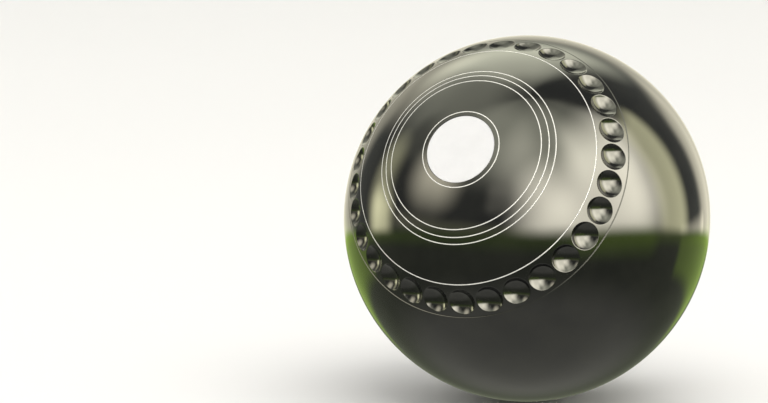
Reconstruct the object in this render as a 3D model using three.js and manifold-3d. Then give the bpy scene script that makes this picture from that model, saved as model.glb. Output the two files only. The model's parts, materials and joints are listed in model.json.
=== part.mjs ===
// A lawn bowl: one solid turned block of resin with a flat disc inlaid in each side, rings
// engraved in both sides and filled with enamel, and a circle of shallow grip cups on each side.
// Millimetres, +Z up, standing on the ground at the origin with its small-disc side towards -Y.
import * as THREE from 'three';
import { mergeVertices } from 'three/addons/utils/BufferGeometryUtils.js';
import Module from 'manifold-3d';

const wasm = await Module();
wasm.setup();

// Driving dimensions. Every ring radius is measured from the bowl's axis.
const RUNNING_RADIUS = 62;
const LEAN_DEGREES = 30;          // how far the small-disc side looks up from level
const CLEARANCE = 0.25;           // between two pieces that meet
const DISC_THICKNESS = 1.6;
const DISC_SINK = 0.1;            // the disc's face lies this far inside the rim of its seat
const DISC_CHAMFER = 0.2;
const FILM_THICKNESS = 0.3;

const RING_WIDTH = 0.32;          // of the enamel that shows
const RING_DEPTH = 0.8;           // of the engraved groove
const RING_SINK = 0.05;           // the enamel lies this far inside the surface
const INNER_RING = 26.4;
const MIDDLE_RING = 28.7;
const OUTER_RING = 30.7;
const GRIP_RING = 41.7;           // borders the grip cups
const OPEN_GROOVE = 49.65;        // the one groove with no enamel, outside the cups
const OPEN_GROOVE_WIDTH = 0.6;
const OPEN_GROOVE_DEPTH = 0.3;

const CUP_COUNT = 30;
const CUP_CIRCLE = 46;
const CUP_RADIUS = 4.55;
const CUP_DEPTH = 2;              // below the flat circle that the cup's rim makes
const CUP_PHASE_DEGREES = -1.35;  // turn of the circle of cups about the bowl's axis
const CUP_SIDES = 10;
const CUP_STEPS = 3;              // facets from the cup's centre to its rim
const CUTTER_HEIGHT = 0.8;        // of the cutter above the cup's rim

const FACETS = 48;                // around the axis
const FACET_ANGLE = (2 * Math.PI) / FACETS;

// The two sides differ in width, which gives the bowl its bias, and in the size of the disc.
const BIAS_SIDE = { name: 'bias', up: 1, halfWidth: 61.4, discRadius: 11.8, discRing: 13.4 };
const PLAIN_SIDE = { name: 'plain', up: -1, halfWidth: 60.5, discRadius: 19, discRing: 20.6 };

const RESIN = { color: 0x0b0b0c, roughness: 0.15, metalness: 0 };
const LAMINATE = { color: 0xf4f2ee, roughness: 0.35, metalness: 0 };
const ENAMEL = { color: 0xeeeeea, roughness: 0.3, metalness: 0 };
const ADHESIVE = { color: 0xc9b78a, roughness: 0.6, metalness: 0 };

// A side of the bowl is half an ellipse turned about the axis: a point of it at a given angle
// from the axis, and the direction that the surface faces there.
function surfaceAt(side, angle) {
  return new THREE.Vector2(RUNNING_RADIUS * Math.sin(angle), side.halfWidth * Math.cos(angle));
}

function normalAt(side, angle) {
  const across = Math.sin(angle) / RUNNING_RADIUS;
  const along = Math.cos(angle) / side.halfWidth;
  return new THREE.Vector2(across, along).normalize();
}

function angleOf(radius) {
  return Math.asin(radius / RUNNING_RADIUS);
}

// A point beside a ring's centre line, in the ring's own section: along the surface, then down.
function sectionPoint(side, ringRadius, along, down) {
  const centre = angleOf(ringRadius);
  const normal = normalAt(side, centre);
  const tangent = new THREE.Vector2(normal.y, -normal.x);
  return surfaceAt(side, centre).addScaledVector(tangent, along).addScaledVector(normal, -down);
}

function squareGroove(side, ringRadius) {
  const half = RING_WIDTH / 2 + CLEARANCE;
  return [
    sectionPoint(side, ringRadius, -half, 0),
    sectionPoint(side, ringRadius, -half, RING_DEPTH),
    sectionPoint(side, ringRadius, half, RING_DEPTH),
    sectionPoint(side, ringRadius, half, 0),
  ];
}

function openGroove(side) {
  const half = OPEN_GROOVE_WIDTH / 2;
  return [
    sectionPoint(side, OPEN_GROOVE, -half, 0),
    sectionPoint(side, OPEN_GROOVE, 0, OPEN_GROOVE_DEPTH),
    sectionPoint(side, OPEN_GROOVE, half, 0),
  ];
}

// Plain surface between two features: points at steps no longer than one facet.
function plainSurface(side, fromRadius, toAngle) {
  const fromAngle = angleOf(fromRadius);
  const steps = Math.ceil((toAngle - fromAngle) / FACET_ANGLE);
  const points = [];
  for (let i = 1; i < steps; i++) {
    points.push(surfaceAt(side, fromAngle + ((toAngle - fromAngle) * i) / steps));
  }
  return points;
}

function seatRim(side) {
  return surfaceAt(side, angleOf(side.discRadius + CLEARANCE));
}

function seatDepth() {
  return DISC_SINK + DISC_THICKNESS + FILM_THICKNESS + 2 * CLEARANCE;
}

// The outline of one side from the axis to the widest circle, as if that side faced up.
function sideOutline(side) {
  const rim = seatRim(side);
  const floor = rim.y - seatDepth();
  return [
    new THREE.Vector2(0, floor),
    new THREE.Vector2(rim.x, floor),
    rim,
    ...squareGroove(side, side.discRing),
    ...plainSurface(side, side.discRing, angleOf(INNER_RING)),
    ...squareGroove(side, INNER_RING),
    ...squareGroove(side, MIDDLE_RING),
    ...squareGroove(side, OUTER_RING),
    ...plainSurface(side, OUTER_RING, angleOf(GRIP_RING)),
    ...squareGroove(side, GRIP_RING),
    surfaceAt(side, angleOf(CUP_CIRCLE)),
    ...openGroove(side),
    ...plainSurface(side, OPEN_GROOVE, Math.PI / 2),
  ];
}

// Turns an outline about the Y axis. An outline drawn for a side that faces up is flipped
// for the side that faces down.
function turned(outline, up, sides = FACETS) {
  const points = outline.map((point) => new THREE.Vector2(point.x, point.y * up));
  if (up < 0) points.reverse();
  return new THREE.LatheGeometry(points, sides);
}

function toSolid(geometry) {
  const bare = geometry.clone();
  bare.deleteAttribute('normal');
  bare.deleteAttribute('uv');
  const merged = mergeVertices(bare);
  return new wasm.Manifold(
    new wasm.Mesh({
      numProp: 3,
      vertProperties: merged.attributes.position.array,
      triVerts: new Uint32Array(merged.index.array),
    }),
  );
}

function toGeometry(solid) {
  const mesh = solid.getMesh();
  const geometry = new THREE.BufferGeometry();
  geometry.setAttribute('position', new THREE.BufferAttribute(mesh.vertProperties, 3));
  geometry.setIndex(new THREE.BufferAttribute(mesh.triVerts, 1));
  geometry.computeVertexNormals();
  return geometry;
}

// The tool that cuts one grip cup: part of a sphere that opens outwards above the cup's rim,
// standing on Y with the flat circle of the rim at height 0.
function cupCutter() {
  const sphereRadius = (CUP_RADIUS ** 2 + CUP_DEPTH ** 2) / (2 * CUP_DEPTH);
  const rimAngle = Math.asin(CUP_RADIUS / sphereRadius);
  const points = [];
  for (let i = 0; i <= CUP_STEPS; i++) {
    const angle = (rimAngle * i) / CUP_STEPS;
    points.push(
      new THREE.Vector2(
        sphereRadius * Math.sin(angle),
        sphereRadius * (1 - Math.cos(angle)) - CUP_DEPTH,
      ),
    );
  }
  points.push(new THREE.Vector2(CUP_RADIUS + CUTTER_HEIGHT, CUTTER_HEIGHT));
  points.push(new THREE.Vector2(0, CUTTER_HEIGHT));
  return new THREE.LatheGeometry(points, CUP_SIDES);
}

function cupCutters(side) {
  const centre = angleOf(CUP_CIRCLE);
  const normal = normalAt(side, centre);
  const rimDrop = CUP_RADIUS ** 2 / (2 * RUNNING_RADIUS);
  const seat = sectionPoint(side, CUP_CIRCLE, 0, rimDrop);
  const cutters = [];
  for (let i = 0; i < CUP_COUNT; i++) {
    const turn = (2 * Math.PI * (i + 0.5)) / CUP_COUNT + THREE.MathUtils.degToRad(CUP_PHASE_DEGREES);
    const outward = new THREE.Vector3(Math.sin(turn), 0, Math.cos(turn));
    const place = outward.clone().multiplyScalar(seat.x).setY(seat.y * side.up);
    const facing = outward.clone().multiplyScalar(normal.x).setY(normal.y * side.up);
    const tilt = new THREE.Quaternion().setFromUnitVectors(new THREE.Vector3(0, 1, 0), facing);
    cutters.push(toSolid(cupCutter().applyQuaternion(tilt).translate(place.x, place.y, place.z)));
  }
  return cutters;
}

function bodyGeometry() {
  const upper = sideOutline(BIAS_SIDE).reverse();
  const lower = sideOutline(PLAIN_SIDE).map((point) => new THREE.Vector2(point.x, -point.y));
  const widest = new THREE.Vector2(RUNNING_RADIUS, 0);
  let solid = toSolid(new THREE.LatheGeometry([...lower, widest, ...upper], FACETS));
  for (const side of [BIAS_SIDE, PLAIN_SIDE]) {
    for (const cutter of cupCutters(side)) {
      solid = solid.subtract(cutter);
    }
  }
  return toGeometry(solid);
}

function discGeometry(side) {
  const top = seatRim(side).y - DISC_SINK;
  const bottom = top - DISC_THICKNESS;
  const outline = [
    new THREE.Vector2(0, bottom),
    new THREE.Vector2(side.discRadius, bottom),
    new THREE.Vector2(side.discRadius, top - DISC_CHAMFER),
    new THREE.Vector2(side.discRadius - DISC_CHAMFER, top),
    new THREE.Vector2(0, top),
  ];
  return turned(outline, side.up);
}

function filmGeometry(side) {
  const bottom = seatRim(side).y - seatDepth() + CLEARANCE;
  const outline = [
    new THREE.Vector2(0, bottom),
    new THREE.Vector2(side.discRadius, bottom),
    new THREE.Vector2(side.discRadius, bottom + FILM_THICKNESS),
    new THREE.Vector2(0, bottom + FILM_THICKNESS),
  ];
  return turned(outline, side.up);
}

function enamelGeometry(side, ringRadius) {
  const half = RING_WIDTH / 2;
  const bottom = RING_DEPTH - CLEARANCE;
  const outline = [
    sectionPoint(side, ringRadius, -half, bottom),
    sectionPoint(side, ringRadius, half, bottom),
    sectionPoint(side, ringRadius, half, RING_SINK),
    sectionPoint(side, ringRadius, -half, RING_SINK),
    sectionPoint(side, ringRadius, -half, bottom),
  ];
  return turned(outline, side.up);
}

const bowl = new THREE.Group();

function addPiece(name, geometry, finish) {
  const piece = new THREE.Mesh(geometry, new THREE.MeshStandardMaterial(finish));
  piece.name = name;
  bowl.add(piece);
}

function addSide(side) {
  const rings = {
    disc: side.discRing,
    inner: INNER_RING,
    middle: MIDDLE_RING,
    outer: OUTER_RING,
    grip: GRIP_RING,
  };
  addPiece(`${side.name}_disc`, discGeometry(side), LAMINATE);
  addPiece(`${side.name}_disc_adhesive`, filmGeometry(side), ADHESIVE);
  for (const [ring, radius] of Object.entries(rings)) {
    addPiece(`${side.name}_${ring}_ring_enamel`, enamelGeometry(side, radius), ENAMEL);
  }
}

addPiece('bowl_body', bodyGeometry(), RESIN);
addSide(BIAS_SIDE);
addSide(PLAIN_SIDE);

// Lean the bowl about X so that its small-disc side looks towards -Y and up, then stand it on
// the ground with the origin below the middle of its bounding box.
bowl.rotation.x = Math.PI - THREE.MathUtils.degToRad(LEAN_DEGREES);
bowl.updateMatrixWorld(true);
const bounds = new THREE.Box3().setFromObject(bowl, true);
const middle = bounds.getCenter(new THREE.Vector3());
bowl.position.set(-middle.x, -middle.y, -bounds.min.z);

export default bowl;
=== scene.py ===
import json
import math

import bmesh
import bpy
from mathutils import Matrix, Vector


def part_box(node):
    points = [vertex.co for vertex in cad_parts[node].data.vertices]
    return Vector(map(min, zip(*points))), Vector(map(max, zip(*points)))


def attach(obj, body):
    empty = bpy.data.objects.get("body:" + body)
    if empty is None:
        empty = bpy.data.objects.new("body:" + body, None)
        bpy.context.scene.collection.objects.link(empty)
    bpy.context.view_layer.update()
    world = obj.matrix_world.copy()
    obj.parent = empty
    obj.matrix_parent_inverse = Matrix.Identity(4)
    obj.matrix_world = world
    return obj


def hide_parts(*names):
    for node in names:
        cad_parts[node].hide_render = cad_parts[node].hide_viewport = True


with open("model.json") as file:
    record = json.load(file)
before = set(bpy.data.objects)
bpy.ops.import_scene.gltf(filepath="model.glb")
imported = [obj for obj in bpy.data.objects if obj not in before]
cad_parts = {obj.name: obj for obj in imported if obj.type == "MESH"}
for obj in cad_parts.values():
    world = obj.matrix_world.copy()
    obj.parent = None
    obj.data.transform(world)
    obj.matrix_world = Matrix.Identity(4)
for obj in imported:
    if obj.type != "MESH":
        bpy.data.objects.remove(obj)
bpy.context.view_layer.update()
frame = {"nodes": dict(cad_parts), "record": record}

# ---------------------------------------------------------------------------------------------
# Sizes, in metres. Every ring radius is measured from the bowl's own axis.
# ---------------------------------------------------------------------------------------------
MM = 0.001
CUP_COUNT = 30
COLUMNS_PER_CUP = 10                    # steps round the axis, and also across the field of cups
COLUMNS = CUP_COUNT * COLUMNS_PER_CUP

BODY_LOW, BODY_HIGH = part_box("bowl_body")
RUNNING_RADIUS = (BODY_HIGH.x - BODY_LOW.x) / 2
MOUNTS = {mount["name"]: mount for mount in frame["record"]["mounts"]}
AXIS = Vector(MOUNTS["bias_disc_face"]["axis"]).normalized()

RING_NAMES = ("disc", "inner", "middle", "outer", "grip")       # from the axis outwards
RING_WIDTH = 0.32 * MM        # of the enamel that shows
RING_DEPTH = 0.3 * MM
RING_EDGE = 0.03 * MM         # rounding of a groove's two edges
RING_GAP = 0.005 * MM         # between the enamel and each wall of its groove
# Points of the enamel's top: a share of its half width across, then a share of RING_EDGE down.
ENAMEL_TOP = ((1, 1), (0.5, 0.8), (0, 0.75), (-0.5, 0.8), (-1, 1))
OPEN_GROOVE = 49.65 * MM      # the unpainted one, outside the cups
OPEN_GROOVE_HALF = 0.27 * MM
OPEN_GROOVE_DEPTH = 0.2 * MM
OPEN_GROOVE_STEPS = 8

CUP_CIRCLE = 46.0 * MM
CUP_RADIUS = 4.55 * MM
CUP_DEPTH = 2.0 * MM          # below the flat circle of the cup's rim
CUP_LIP = 0.16 * MM           # height over which the cup's lip is rounded
CUP_PHASE = math.radians(-1.35)
CUP_FIELD = (42.35 * MM, 49.2 * MM)     # inner and outer edge

DISC_THICKNESS = 1.6 * MM
DISC_SINK = 0.1 * MM
DISC_EDGE = 0.12 * MM
CAD_CLEARANCE = 0.25 * MM     # round the disc in the CAD solid, which sets the disc's height
SEAT_GAP = 0.08 * MM          # round the disc here
SEAT_DEPTH = 2.5 * MM
SEAT_EDGE = 0.06 * MM
CORNER_INSET = 0.3 * MM       # from a corner at the back of a disc or seat to the next ring of points
DISC_TRIM = 0.05 * MM         # chamfer at a disc's back, and the first ring of points on its face
PLAIN_STEP = math.radians(2.5)          # between rings of points where the surface is plain
ON_SURFACE = 3e-6             # relative error up to which a point counts as on the running surface


class Side:
    """One side of the bowl: half an ellipse turned about the axis, with its disc and rings."""

    def __init__(self, name, up, half_width):
        self.name = name
        self.up = up
        self.half_width = half_width
        low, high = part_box(f"{name}_disc")
        self.disc_radius = (high.x - low.x) / 2
        self.rings = {ring: self.ring_radius(ring) for ring in RING_NAMES}

    def ring_radius(self, ring):
        """Centre line of an enamel ring, from the widest circle of its CAD solid."""
        low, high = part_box(f"{self.name}_{ring}_ring_enamel")
        widest = (high.x - low.x) / 2
        slant = math.sqrt(1 - (widest / RUNNING_RADIUS) ** 2)
        return widest - RING_WIDTH / 2 * slant

    def angle(self, radius):
        return math.asin(radius / RUNNING_RADIUS)

    def surface(self, angle):
        return Vector((RUNNING_RADIUS * math.sin(angle), self.half_width * math.cos(angle)))

    def normal(self, angle):
        across = math.sin(angle) / RUNNING_RADIUS
        along = math.cos(angle) / self.half_width
        return Vector((across, along)).normalized()

    def section(self, ring_radius, along, down):
        """A point beside a ring's centre line: so far along the surface, so far under it."""
        angle = self.angle(ring_radius) + along / RUNNING_RADIUS
        return self.surface(angle) - self.normal(angle) * down

    def face_height(self):
        """Height of the disc's face above the bowl's middle."""
        return self.surface(self.angle(self.disc_radius + CAD_CLEARANCE)).y - DISC_SINK


BIAS = Side("bias", 1, 61.4 * MM)
PLAIN = Side("plain", -1, 60.5 * MM)
SIDES = (BIAS, PLAIN)

# The bowl's own frame: z runs along its axis from the large-disc side to the small-disc side.
CENTRE = Vector(MOUNTS["bias_disc_face"]["pos_m"]) - AXIS * BIAS.face_height()
ACROSS = Vector((1, 0, 0))
TO_ROW = Matrix.Translation(CENTRE) @ Matrix((ACROSS, AXIS.cross(ACROSS), AXIS)).transposed().to_4x4()


def seam_turn(cup):
    """Turn about the axis of the seam before a cup, or of a share of the way to the next."""
    return CUP_PHASE + 2 * math.pi * (cup - 0.5) / CUP_COUNT


# ---------------------------------------------------------------------------------------------
# Mesh building
# ---------------------------------------------------------------------------------------------
class Shell:
    """Points and faces of one closed piece in the bowl's own frame."""

    def __init__(self):
        self.points = []
        self.faces = []
        self.finishes = []

    def point(self, place):
        self.points.append(tuple(place))
        return len(self.points) - 1

    def ring(self, radius, height):
        if radius == 0:
            return [self.point((0, 0, height))]
        turns = (seam_turn(i / COLUMNS_PER_CUP) for i in range(COLUMNS))
        return [self.point((radius * math.cos(t), radius * math.sin(t), height)) for t in turns]

    def bridge(self, first, second, finish=0):
        """Faces between two closed loops of points, or between one point and a loop."""
        loop = first if len(first) > 1 else second
        self.finishes += [finish] * len(loop)
        for i in range(len(loop)):
            j = (i + 1) % len(loop)
            if len(first) == 1:
                self.faces.append((first[0], second[j], second[i]))
            elif len(second) == 1:
                self.faces.append((first[i], first[j], second[0]))
            else:
                self.faces.append((first[i], first[j], second[j], second[i]))

    def turned(self, outline, up):
        """Rings for an outline of (radius, height) points, joined one to the next."""
        rings = [self.ring(radius, height * up) for radius, height in outline]
        for first, second in zip(rings, rings[1:]):
            self.bridge(first, second)
        return rings

    def make(self, name, materials, node):
        mesh = bpy.data.meshes.new(name)
        mesh.from_pydata(self.points, [], self.faces)
        whole = bmesh.new()
        whole.from_mesh(mesh)
        bmesh.ops.recalc_face_normals(whole, faces=whole.faces)
        whole.to_mesh(mesh)
        whole.free()
        mesh.shade_smooth()
        if node == "bowl_body":
            mesh.normals_split_custom_set_from_vertices([true_normal(p) for p in self.points])
        mesh.transform(TO_ROW)
        for material in materials:
            mesh.materials.append(material)
        mesh.polygons.foreach_set("material_index", self.finishes)
        piece = bpy.data.objects.new(name, mesh)
        bpy.context.scene.collection.objects.link(piece)
        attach(piece, "root")
        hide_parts(node)
        return piece


def true_normal(point):
    """The running surface's own normal at a point on it. Zero elsewhere keeps the mesh's."""
    x, y, z = point
    half_width = (BIAS if z > 0 else PLAIN).half_width
    across = RUNNING_RADIUS ** 2
    along = half_width ** 2
    if abs((x * x + y * y) / across + z * z / along - 1) > ON_SURFACE:
        return 0, 0, 0
    return Vector((x / across, y / across, z / along)).normalized()


def quarter(centre, start, end, steps):
    """Points of a quarter arc about centre, from start to end, all (radius, height)."""
    arms = start - centre, end - centre
    turns = (math.pi / 2 * i / steps for i in range(steps + 1))
    return [centre + arms[0] * math.cos(t) + arms[1] * math.sin(t) for t in turns]


# ---------------------------------------------------------------------------------------------
# The resin body
# ---------------------------------------------------------------------------------------------
def plain_surface(side, start, end):
    """Untouched surface between two angles, both left out, in even steps."""
    steps = math.ceil((end - start) / PLAIN_STEP)
    return [side.surface(start + (end - start) * i / steps) for i in range(1, steps)]


def ring_groove(side, radius):
    """Section of an engraved ring: rounded edges, straight walls and a flat floor."""
    half = RING_WIDTH / 2 + RING_GAP
    edge = [(half + RING_EDGE * (1 - math.sin(t)), RING_EDGE * (1 - math.cos(t)))
            for t in (0, math.pi / 4, math.pi / 2)]
    right = [*edge, (half, RING_DEPTH)]
    left = [(-along, down) for along, down in right]
    return [side.section(radius, along, down) for along, down in [*left, *reversed(right)]]


def open_groove(side):
    """Section of the unpainted groove: a shallow rounded line."""
    points = []
    for i in range(OPEN_GROOVE_STEPS + 1):
        along = OPEN_GROOVE_HALF * (2 * i / OPEN_GROOVE_STEPS - 1)
        down = OPEN_GROOVE_DEPTH * math.cos(math.pi / 2 * along / OPEN_GROOVE_HALF) ** 2
        points.append(side.section(OPEN_GROOVE, along, down))
    return points


def seat(side):
    """The flat-bottomed seat of the disc, from the axis to its rounded rim."""
    rim = side.surface(side.angle(side.disc_radius + SEAT_GAP))
    floor = rim.y - SEAT_DEPTH
    top = side.surface(side.angle(rim.x + SEAT_EDGE))
    corner = Vector((rim.x, top.y - SEAT_EDGE))
    edge = quarter(Vector((top.x, corner.y)), corner, top, steps=3)
    return [
        Vector((0, floor)),
        Vector((rim.x - CORNER_INSET, floor)),
        Vector((rim.x, floor)),
        Vector((rim.x, (floor + corner.y) / 2)),
        *edge,
    ]


def inner_outline(side):
    """From the axis to the inner edge of the field of cups."""
    half = RING_WIDTH / 2 + RING_GAP + RING_EDGE
    outline = seat(side)
    reach = side.angle(outline[-1].x)
    for radius in (side.rings[name] for name in RING_NAMES):
        start = side.angle(radius) - half / RUNNING_RADIUS
        outline += plain_surface(side, reach, start)
        outline += ring_groove(side, radius)
        reach = side.angle(radius) + half / RUNNING_RADIUS
    return outline


def outer_outline(side):
    """From the outer edge of the field of cups towards the widest circle, which is left out."""
    outline = open_groove(side)
    reach = side.angle(OPEN_GROOVE) + OPEN_GROOVE_HALF / RUNNING_RADIUS
    return outline + plain_surface(side, reach, math.pi / 2)


def softer_low(first, second, reach):
    """The lower of two heights, with a round transition where they differ by less than reach."""
    near = max(reach - abs(first - second), 0) / reach
    return min(first, second) - near * near * reach / 4


class CupPlace:
    """The tangent plane at a cup's centre, and the surface and the cup seen from it."""

    def __init__(self, side, turn):
        angle = side.angle(CUP_CIRCLE)
        place = side.surface(angle)
        facing = side.normal(angle)
        out = Vector((math.cos(turn), math.sin(turn), 0))
        self.centre = out * place.x + Vector((0, 0, place.y * side.up))
        self.normal = out * facing.x + Vector((0, 0, facing.y * side.up))
        self.around = Vector((-math.sin(turn), math.cos(turn), 0))
        self.along = self.normal.cross(self.around)
        self.half_width = side.half_width
        self.ball = (CUP_RADIUS ** 2 + CUP_DEPTH ** 2) / (2 * CUP_DEPTH)
        self.floor = self.surface_height(CUP_RADIUS, 0) - CUP_DEPTH

    def flat(self, place):
        offset = Vector(place) - self.centre
        return offset.dot(self.around), offset.dot(self.along)

    def surface_height(self, x, y):
        """Height over the tangent plane where the ellipsoid lies, from its quadratic."""
        scale = Vector((1 / RUNNING_RADIUS, 1 / RUNNING_RADIUS, 1 / self.half_width))
        start = (self.centre + self.around * x + self.along * y) * scale
        step = self.normal * scale
        a = step.dot(step)
        b = start.dot(step)
        c = start.dot(start) - 1
        return (-b + math.sqrt(b * b - a * c)) / a

    def at(self, x, y):
        height = self.surface_height(x, y)
        reach = math.hypot(x, y)
        if reach < self.ball:
            cup = self.floor + self.ball - math.sqrt(self.ball ** 2 - reach ** 2)
            height = softer_low(height, cup, CUP_LIP)
        return self.centre + self.around * x + self.along * y + self.normal * height


CUP_LOOPS = (0.12, 0.25, 0.38, 0.5, 0.61, 0.71, 0.8, 0.88)      # shares of the cup's radius
LIP_LOOPS = (-0.24, -0.15, -0.09, -0.03, 0.03, 0.09, 0.15)      # millimetres from the rim
FIELD_LOOPS = (0.5,)                                            # shares of the way to the edge


def cup_patch(shell, place, edge):
    """One cup and the surface round it, closed against a loop of points on the field's edge."""
    flat_edge = [place.flat(shell.points[i]) for i in edge]
    radii = [CUP_RADIUS * share for share in CUP_LOOPS]
    radii += [CUP_RADIUS + offset * MM for offset in LIP_LOOPS]
    last = [shell.point(place.at(0, 0))]
    for radius in radii:
        loop = []
        for x, y in flat_edge:
            scale = radius / math.hypot(x, y)
            loop.append(shell.point(place.at(x * scale, y * scale)))
        shell.bridge(last, loop, finish=1 if radius < CUP_RADIUS else 0)
        last = loop
    for share in FIELD_LOOPS:
        loop = []
        for x, y in flat_edge:
            reach = math.hypot(x, y)
            scale = (radii[-1] + (reach - radii[-1]) * share) / reach
            loop.append(shell.point(place.at(x * scale, y * scale)))
        shell.bridge(last, loop)
        last = loop
    shell.bridge(last, edge)


def cup_field(shell, side, inner, outer):
    """The circle of cups between two rings of points. Neighbouring patches share a seam."""
    start, end = (side.angle(radius) for radius in CUP_FIELD)
    seams = []
    for i in range(CUP_COUNT):
        turn = seam_turn(i)
        seam = []
        for j in range(1, COLUMNS_PER_CUP):
            radius, height = side.surface(start + (end - start) * j / COLUMNS_PER_CUP)
            place = radius * math.cos(turn), radius * math.sin(turn), height * side.up
            seam.append(shell.point(place))
        seams.append(seam)
    for i in range(CUP_COUNT):
        columns = [(i * COLUMNS_PER_CUP + j) % COLUMNS for j in range(COLUMNS_PER_CUP + 1)]
        edge = [inner[c] for c in columns]
        edge += seams[(i + 1) % CUP_COUNT]
        edge += [outer[c] for c in reversed(columns)]
        edge += reversed(seams[i])
        cup_patch(shell, CupPlace(side, seam_turn(i + 0.5)), edge)


def make_body(polished, moulded):
    """The resin block: both sides' outlines and cups, joined at the widest circle."""
    shell = Shell()
    widest = shell.ring(RUNNING_RADIUS, 0)
    for side in SIDES:
        start, end = (side.surface(side.angle(radius)) for radius in CUP_FIELD)
        inner = shell.turned([*inner_outline(side), start], side.up)
        outer = shell.turned([end, *outer_outline(side)], side.up)
        cup_field(shell, side, inner[-1], outer[0])
        shell.bridge(outer[-1], widest)
    return shell.make("polished_bowl", (polished, moulded), "bowl_body")


# ---------------------------------------------------------------------------------------------
# Inlaid discs and enamel
# ---------------------------------------------------------------------------------------------
def make_disc(side, material):
    top = side.face_height()
    low = top - DISC_THICKNESS
    shoulder = Vector((side.disc_radius, top - DISC_EDGE))
    crest = Vector((side.disc_radius - DISC_EDGE, top))
    hub = Vector((crest.x, shoulder.y))
    outline = [
        Vector((0, low)),
        Vector((side.disc_radius - CORNER_INSET, low)),
        Vector((side.disc_radius, low + DISC_TRIM)),
        *quarter(hub, shoulder, crest, steps=4),
        Vector((crest.x - DISC_TRIM, top)),
        Vector((crest.x / 2, top)),
        Vector((0, top)),
    ]
    shell = Shell()
    shell.turned(outline, side.up)
    return shell.make(f"{side.name}_side_disc", (material,), f"{side.name}_disc")


def make_enamel(side, ring, material):
    """Enamel that fills a groove to just under its rounded edges, slightly domed."""
    half = RING_WIDTH / 2
    bottom = RING_DEPTH - RING_GAP
    top = [(half * across, RING_EDGE * down) for across, down in ENAMEL_TOP]
    section = [(half, bottom), *top, (-half, bottom)]
    outline = [side.section(side.rings[ring], along, down) for along, down in section]
    shell = Shell()
    rings = shell.turned(outline, side.up)
    shell.bridge(rings[-1], rings[0])
    return shell.make(
        f"{side.name}_{ring}_ring_paint", (material,), f"{side.name}_{ring}_ring_enamel"
    )


# ---------------------------------------------------------------------------------------------
# Materials
# ---------------------------------------------------------------------------------------------
class Nodes:
    """A short way to add and link the nodes of one material or world."""

    def __init__(self, tree):
        self.tree = tree

    def add(self, kind, **values):
        node = self.tree.nodes.new(kind)
        for key, value in values.items():
            setattr(node, key, value)
        return node

    def link(self, start, end):
        self.tree.links.new(start, end)

    def noise(self, where, scale, detail=3.0, rough=0.55):
        node = self.add("ShaderNodeTexNoise")
        node.inputs["Scale"].default_value = scale
        node.inputs["Detail"].default_value = detail
        node.inputs["Roughness"].default_value = rough
        self.link(where, node.inputs["Vector"])
        return node.outputs["Fac"]

    def spread(self, value, low, high, to_low, to_high):
        """Maps low..high to to_low..to_high with smooth ends."""
        node = self.add("ShaderNodeMapRange", interpolation_type="SMOOTHSTEP")
        ends = {"From Min": low, "From Max": high, "To Min": to_low, "To Max": to_high}
        for name, number in ends.items():
            node.inputs[name].default_value = number
        self.link(value, node.inputs["Value"])
        return node.outputs["Result"]

    def maths(self, operation, first, second):
        node = self.add("ShaderNodeMath", operation=operation)
        for socket, value in zip(node.inputs, (first, second)):
            if isinstance(value, (int, float)):
                socket.default_value = value
            else:
                self.link(value, socket)
        return node.outputs["Value"]

    def blend(self, share, first, second):
        """Mixes two colours, each a tuple or another node's output."""
        node = self.add("ShaderNodeMix", data_type="RGBA")
        self.link(share, node.inputs["Factor"])
        for name, colour in (("A", first), ("B", second)):
            if isinstance(colour, tuple):
                node.inputs[name].default_value = (*colour, 1)
            else:
                self.link(colour, node.inputs[name])
        return node.outputs["Result"]


def new_material(name, ior):
    material = bpy.data.materials.new(name)
    material.use_nodes = True
    shader = material.node_tree.nodes["Principled BSDF"]
    shader.inputs["IOR"].default_value = ior
    nodes = Nodes(material.node_tree)
    where = nodes.add("ShaderNodeTexCoord").outputs["Object"]
    return material, shader, nodes, where


def bump(nodes, shader, height, strength, distance):
    node = nodes.add("ShaderNodeBump")
    node.inputs["Strength"].default_value = strength
    node.inputs["Distance"].default_value = distance
    nodes.link(height, node.inputs["Height"])
    nodes.link(node.outputs["Normal"], shader.inputs["Normal"])


def resin_material(name, roughness):
    """Black phenolic resin: faint mottling, handling smudges and a hint of polish haze."""
    material, shader, nodes, where = new_material(name, ior=1.58)
    mottle = nodes.spread(nodes.noise(where, 90), 0.35, 0.65, 0, 1)
    nodes.link(nodes.blend(mottle, (0.0035, 0.0035, 0.004), (0.007, 0.007, 0.0065)),
               shader.inputs["Base Color"])
    smudge = nodes.spread(nodes.noise(where, 28, detail=4), 0.4, 0.7, 0, 0.025)
    fine = nodes.spread(nodes.noise(where, 420, detail=2), 0.3, 0.7, 0, 0.012)
    nodes.link(nodes.maths("ADD", nodes.maths("ADD", smudge, fine), roughness),
               shader.inputs["Roughness"])
    bump(nodes, shader, nodes.noise(where, 900, detail=2), strength=0.05, distance=0.02 * MM)
    return material


def laminate_material():
    """Satin white laminate: a hint of warm clouding and a fine pressed grain."""
    material, shader, nodes, where = new_material("satin_white_laminate", ior=1.45)
    cloud = nodes.spread(nodes.noise(where, 160), 0.3, 0.7, 0, 1)
    nodes.link(nodes.blend(cloud, (0.655, 0.655, 0.665), (0.685, 0.685, 0.695)),
               shader.inputs["Base Color"])
    nodes.link(nodes.spread(nodes.noise(where, 700), 0.3, 0.7, 0.3, 0.4),
               shader.inputs["Roughness"])
    bump(nodes, shader, nodes.noise(where, 2600, detail=2), strength=0.12, distance=0.02 * MM)
    return material


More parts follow.
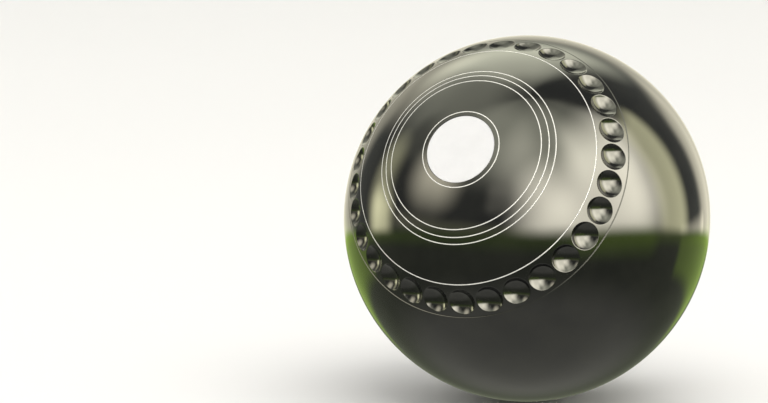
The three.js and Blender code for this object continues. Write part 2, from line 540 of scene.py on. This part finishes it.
def enamel_material():
    """White enamel wiped into the engraved rings, slightly uneven in tone."""
    material, shader, nodes, where = new_material("wiped_white_enamel", ior=1.5)
    wear = nodes.spread(nodes.noise(where, 650, detail=4), 0.3, 0.75, 0, 1)
    nodes.link(nodes.blend(wear, (0.88, 0.87, 0.82), (0.74, 0.73, 0.68)),
               shader.inputs["Base Color"])
    nodes.link(nodes.spread(nodes.noise(where, 1200), 0.3, 0.7, 0.22, 0.38),
               shader.inputs["Roughness"])
    bump(nodes, shader, nodes.noise(where, 3000, detail=2), strength=0.15, distance=0.02 * MM)
    return material


def adhesive_material():
    """Cured amber adhesive with small trapped bubbles."""
    material, shader, nodes, where = new_material("cured_adhesive", ior=1.5)
    patch = nodes.spread(nodes.noise(where, 300), 0.35, 0.65, 0, 1)
    nodes.link(nodes.blend(patch, (0.5, 0.36, 0.13), (0.62, 0.48, 0.22)),
               shader.inputs["Base Color"])
    nodes.link(nodes.spread(nodes.noise(where, 900), 0.3, 0.7, 0.35, 0.6),
               shader.inputs["Roughness"])
    bump(nodes, shader, nodes.noise(where, 1500, detail=2), strength=0.3, distance=0.05 * MM)
    return material


# ---------------------------------------------------------------------------------------------
# Floor and light
# ---------------------------------------------------------------------------------------------
FLOOR_RADIUS = 6.0
FLOOR_SIDES = 96


def make_floor():
    """A plain pale floor. The bowl's gloss shows the dark ground of the room instead."""
    material, shader, nodes, where = new_material("pale_floor", ior=1.4)
    tone = nodes.spread(nodes.noise(where, 0.6, detail=2), 0.3, 0.7, 0, 1)
    nodes.link(nodes.blend(tone, (0.79, 0.79, 0.78), (0.82, 0.82, 0.81)), shader.inputs["Base Color"])
    shader.inputs["Roughness"].default_value = 0.9
    shader.inputs["Specular IOR Level"].default_value = 0.1
    mesh = bpy.data.meshes.new("floor")
    turns = [2 * math.pi * i / FLOOR_SIDES for i in range(FLOOR_SIDES)]
    rim = [(FLOOR_RADIUS * math.cos(t), FLOOR_RADIUS * math.sin(t), 0) for t in turns]
    mesh.from_pydata(rim, [], [tuple(range(FLOOR_SIDES))])
    mesh.materials.append(material)
    floor = bpy.data.objects.new("floor", mesh)
    floor.visible_glossy = False
    bpy.context.scene.collection.objects.link(floor)


# Soft boxes round the bowl that only its gloss shows: azimuth and elevation of the middle,
# half width and half height, softness of the edge, all in degrees, then colour and brightness.
# Azimuth 0 is towards -Y and 90 towards +X.
WARM = (1.0, 0.95, 0.78)
OLIVE = (1.0, 0.97, 0.6)
PALE = (1.0, 1.0, 0.78)
BEIGE = (1.0, 0.93, 0.71)
SOFT_BOXES = (
    (-30, 58, 142, 24, 14, PALE, 1.5),      # ceiling, all but its right
    (14, 62, 62, 24, 20, PALE, 1.5),        # ceiling in front
    (67, 15, 45, 22, 16, WARM, 11.0),       # large window on the right
    (88, 46, 31, 12, 13, WARM, 8.0),        # the large window's upper part
    (100, 20, 14, 14, 12, WARM, 2.5),       # its brightest part
    (46, 15, 8, 8, 8, WARM, 2.5),           # a smaller bright part on its left
    (4, 20, 6, 8, 4, WARM, 0.7),            # a faint glow beside it
    (17, 45, 14, 20, 14, WARM, 2.2),        # the large window's left edge
    (129, 14, 13, 31, 6, OLIVE, 4.2),       # second window, further round
    (-156, 1, 40, 21, 6, BEIGE, 0.9),       # low light behind the bowl
    (175, 3, 10, 15, 5, BEIGE, 0.75),       # that light's right edge
    (152, -8, 17, 2, 2, BEIGE, 1.7),        # a low strip from there to the second window
    (-153, 52, 30, 22, 11, PALE, 2.1),      # high light behind the bowl
    (-124, 31, 16, 9, 8, BEIGE, 1.1),       # that light's left end
    (-79, -2, 9, 10, 6, OLIVE, 5.3),        # low lamp on the left
    (-20, 0, 45, 3, 4, OLIVE, 0.75),        # a faint glow along the horizon
    (-84, 13, 8, 16, 7, OLIVE, 2.2),        # the low lamp's upper glow
    (-74, 41, 12, 7, 7, PALE, -0.7),        # a dimmer patch of the ceiling above that
    (-42, 27, 15, 13, 12, BEIGE, 6.0),      # panel in front
)
SHADE = (0.25, 0.26, 0.23)         # between the boxes
GROUND_EDGE = (0.37, 0.52, 0.15)   # just under the horizon
GROUND_DEEP = (0.22, 0.24, 0.17)   # below that
GROUND_NEAR = (0.6, 0.6, 0.52)     # close to the bowl
GRASS = (0.62, 1.0, 0.05)
LAWN_GLOWS = (                     # soft boxes on the ground
    (82, -7, 30, 7, 6, GRASS, 0.45),        # under the large window
    (163, -16, 27, 6, 3, GRASS, 0.5),       # further round on the right
    (-118, -16, 24, 6, 3, GRASS, 0.5),      # and on the left
)
HORIZON_TOP = math.radians(27)     # azimuth where the horizon is highest and softest
HORIZON_HIGH = math.radians(0.8)   # elevation of the horizon there
HORIZON_LOW = math.radians(-10)    # and half a turn from there
HORIZON_BLUR = math.radians(6)     # half the depth of the soft horizon there
HORIZON_SHARPER = 0.45             # share of the blur that is lost a quarter turn from there
# Heights over the horizon between which one ground colour turns into the next. The first pair
# shrinks with the blur.
DEEP_TO_EDGE = (math.radians(-16), math.radians(-3))
NEAR_TO_DEEP = (math.radians(-50), math.radians(-22))

ROOM_COLOUR = (1.0, 0.99, 0.97)    # what everything but gloss sees
ROOM_STRENGTH = 0.95
KEY_COLOUR = (1.0, 0.97, 0.93)
KEY_POWER = 14
KEY_SIZE = (1.6, 1.2)
KEY_OFFSET = Vector((0.5, -0.4, 1.5))     # from the bowl's middle


def beyond(nodes, value, middle, core):
    """How far a value lies from the middle, less the core, squared."""
    away = nodes.maths("ABSOLUTE", nodes.maths("SUBTRACT", value, math.radians(middle)), 0)
    past = nodes.maths("MAXIMUM", nodes.maths("SUBTRACT", away, math.radians(core)), 0)
    return nodes.maths("POWER", past, 2)


def soft_box(nodes, azimuth, elevation, box, total):
    """Adds the light of one soft box, a rounded rectangle that fades over twice its softness."""
    middle_az, middle_el, half_width, half_height, softness, colour, brightness = box
    wrap = nodes.add("ShaderNodeMath", operation="WRAP")
    wrap.inputs[1].default_value = math.radians(middle_az + 180)
    wrap.inputs[2].default_value = math.radians(middle_az - 180)
    nodes.link(azimuth, wrap.inputs[0])
    aside = beyond(nodes, wrap.outputs["Value"], middle_az, max(half_width - softness, 0))
    above = beyond(nodes, elevation, middle_el, max(half_height - softness, 0))
    away = nodes.maths("SQRT", nodes.maths("ADD", aside, above), 0)
    share = nodes.spread(away, 0, math.radians(2 * softness), 1, 0)
    scale = nodes.add("ShaderNodeVectorMath", operation="MULTIPLY_ADD")
    scale.inputs[0].default_value = [channel * brightness for channel in colour]
    nodes.link(share, scale.inputs[1])
    nodes.link(total, scale.inputs[2])
    return scale.outputs["Vector"]


def ground(nodes, azimuth, elevation, sky):
    """Puts a dark, slightly green ground under a soft horizon."""
    turn = nodes.maths("COSINE", nodes.maths("SUBTRACT", azimuth, HORIZON_TOP), 0)
    horizon = nodes.spread(turn, -1, 1, HORIZON_LOW, HORIZON_HIGH)
    above = nodes.maths("SUBTRACT", elevation, horizon)
    softness = nodes.maths("ADD", nodes.maths("MULTIPLY", turn, HORIZON_SHARPER), 1 - HORIZON_SHARPER)
    sharpened = nodes.maths("DIVIDE", above, softness)
    colour = nodes.blend(nodes.spread(sharpened, *DEEP_TO_EDGE, 0, 1), GROUND_DEEP, GROUND_EDGE)
    colour = nodes.blend(nodes.spread(above, *NEAR_TO_DEEP, 1, 0), colour, GROUND_NEAR)
    return nodes.blend(nodes.spread(sharpened, -HORIZON_BLUR, HORIZON_BLUR, 0, 1), colour, sky)


def make_world():
    """A plain pale background, and the room of soft boxes that only gloss rays see."""
    world = bpy.data.worlds.new("studio")
    world.use_nodes = True
    world.cycles.sampling_method = "NONE"
    bpy.context.scene.world = world
    nodes = Nodes(world.node_tree)
    room = world.node_tree.nodes["Background"]
    room.inputs["Color"].default_value = (*ROOM_COLOUR, 1)
    room.inputs["Strength"].default_value = ROOM_STRENGTH
    where = nodes.add("ShaderNodeTexCoord").outputs["Generated"]
    parts = nodes.add("ShaderNodeSeparateXYZ")
    nodes.link(where, parts.inputs["Vector"])
    towards = nodes.maths("MULTIPLY", parts.outputs["Y"], -1)
    azimuth = nodes.maths("ARCTAN2", parts.outputs["X"], towards)
    elevation = nodes.maths("ARCSINE", parts.outputs["Z"], 0)
    shade = nodes.add("ShaderNodeCombineXYZ")
    for socket, channel in zip(shade.inputs, SHADE):
        socket.default_value = channel
    total = shade.outputs["Vector"]
    for box in SOFT_BOXES:
        total = soft_box(nodes, azimuth, elevation, box, total)
    total = ground(nodes, azimuth, elevation, total)
    for box in LAWN_GLOWS:
        total = soft_box(nodes, azimuth, elevation, box, total)
    gloss = nodes.add("ShaderNodeBackground")
    nodes.link(total, gloss.inputs["Color"])
    path = nodes.add("ShaderNodeLightPath")
    choose = nodes.add("ShaderNodeMixShader")
    nodes.link(path.outputs["Is Glossy Ray"], choose.inputs["Fac"])
    nodes.link(room.outputs["Background"], choose.inputs[1])
    nodes.link(gloss.outputs["Background"], choose.inputs[2])
    nodes.link(choose.outputs["Shader"], world.node_tree.nodes["World Output"].inputs["Surface"])


def make_key_light():
    """A wide overhead soft light. It shapes the floor's shade and leaves the gloss to the boxes."""
    data = bpy.data.lights.new("overhead", "AREA")
    data.shape = "RECTANGLE"
    data.size, data.size_y = KEY_SIZE
    data.energy = KEY_POWER
    data.color = KEY_COLOUR
    light = bpy.data.objects.new("overhead", data)
    light.location = CENTRE + KEY_OFFSET
    light.rotation_mode = "QUATERNION"
    light.rotation_quaternion = KEY_OFFSET.to_track_quat("Z", "Y")
    light.visible_glossy = False
    bpy.context.scene.collection.objects.link(light)


# ---------------------------------------------------------------------------------------------
# Camera
# ---------------------------------------------------------------------------------------------
CAMERA_AZIMUTH = math.radians(26.76)
CAMERA_ELEVATION = math.radians(8.58)
CAMERA_DISTANCE = 21 * RUNNING_RADIUS
SENSOR = 36.0
BOWL_SHARE = 0.478            # the bowl's width as a share of the frame's
RIGHT_SHARE = 0.186           # the bowl's middle, right of the frame's and below it,
DOWN_SHARE = 0.0222           # as shares of the frame's width


def make_camera():
    back = Vector((
        math.sin(CAMERA_AZIMUTH) * math.cos(CAMERA_ELEVATION),
        -math.cos(CAMERA_AZIMUTH) * math.cos(CAMERA_ELEVATION),
        math.sin(CAMERA_ELEVATION),
    ))
    right = Vector((math.cos(CAMERA_AZIMUTH), math.sin(CAMERA_AZIMUTH), 0))
    up = back.cross(right)
    data = bpy.data.cameras.new("camera")
    data.sensor_width = SENSOR
    tangent_length = math.sqrt(CAMERA_DISTANCE ** 2 - RUNNING_RADIUS ** 2)
    data.lens = SENSOR * BOWL_SHARE / 2 * tangent_length / RUNNING_RADIUS
    frame_width = SENSOR / data.lens * CAMERA_DISTANCE
    camera = bpy.data.objects.new("camera", data)
    camera.location = (
        CENTRE
        + back * CAMERA_DISTANCE
        - right * (frame_width * RIGHT_SHARE)
        + up * (frame_width * DOWN_SHARE)
    )
    camera.rotation_mode = "QUATERNION"
    camera.rotation_quaternion = back.to_track_quat("Z", "Y")
    bpy.context.scene.collection.objects.link(camera)
    bpy.context.scene.camera = camera


# ---------------------------------------------------------------------------------------------
# The bowl
# ---------------------------------------------------------------------------------------------
def make_bowl():
    polished = resin_material("polished_black_resin", roughness=0.06)
    moulded = resin_material("cup_black_resin", roughness=0.09)
    make_body(polished, moulded)
    laminate = laminate_material()
    enamel = enamel_material()
    adhesive = adhesive_material()
    for side in SIDES:
        make_disc(side, laminate)
        for ring in RING_NAMES:
            make_enamel(side, ring, enamel)
        film = frame["nodes"][f"{side.name}_disc_adhesive"]
        for material_slot in film.material_slots:
            material_slot.material = adhesive


make_camera()
make_floor()
make_world()
make_key_light()
make_bowl()
bpy.context.scene.view_settings.view_transform = "Standard"
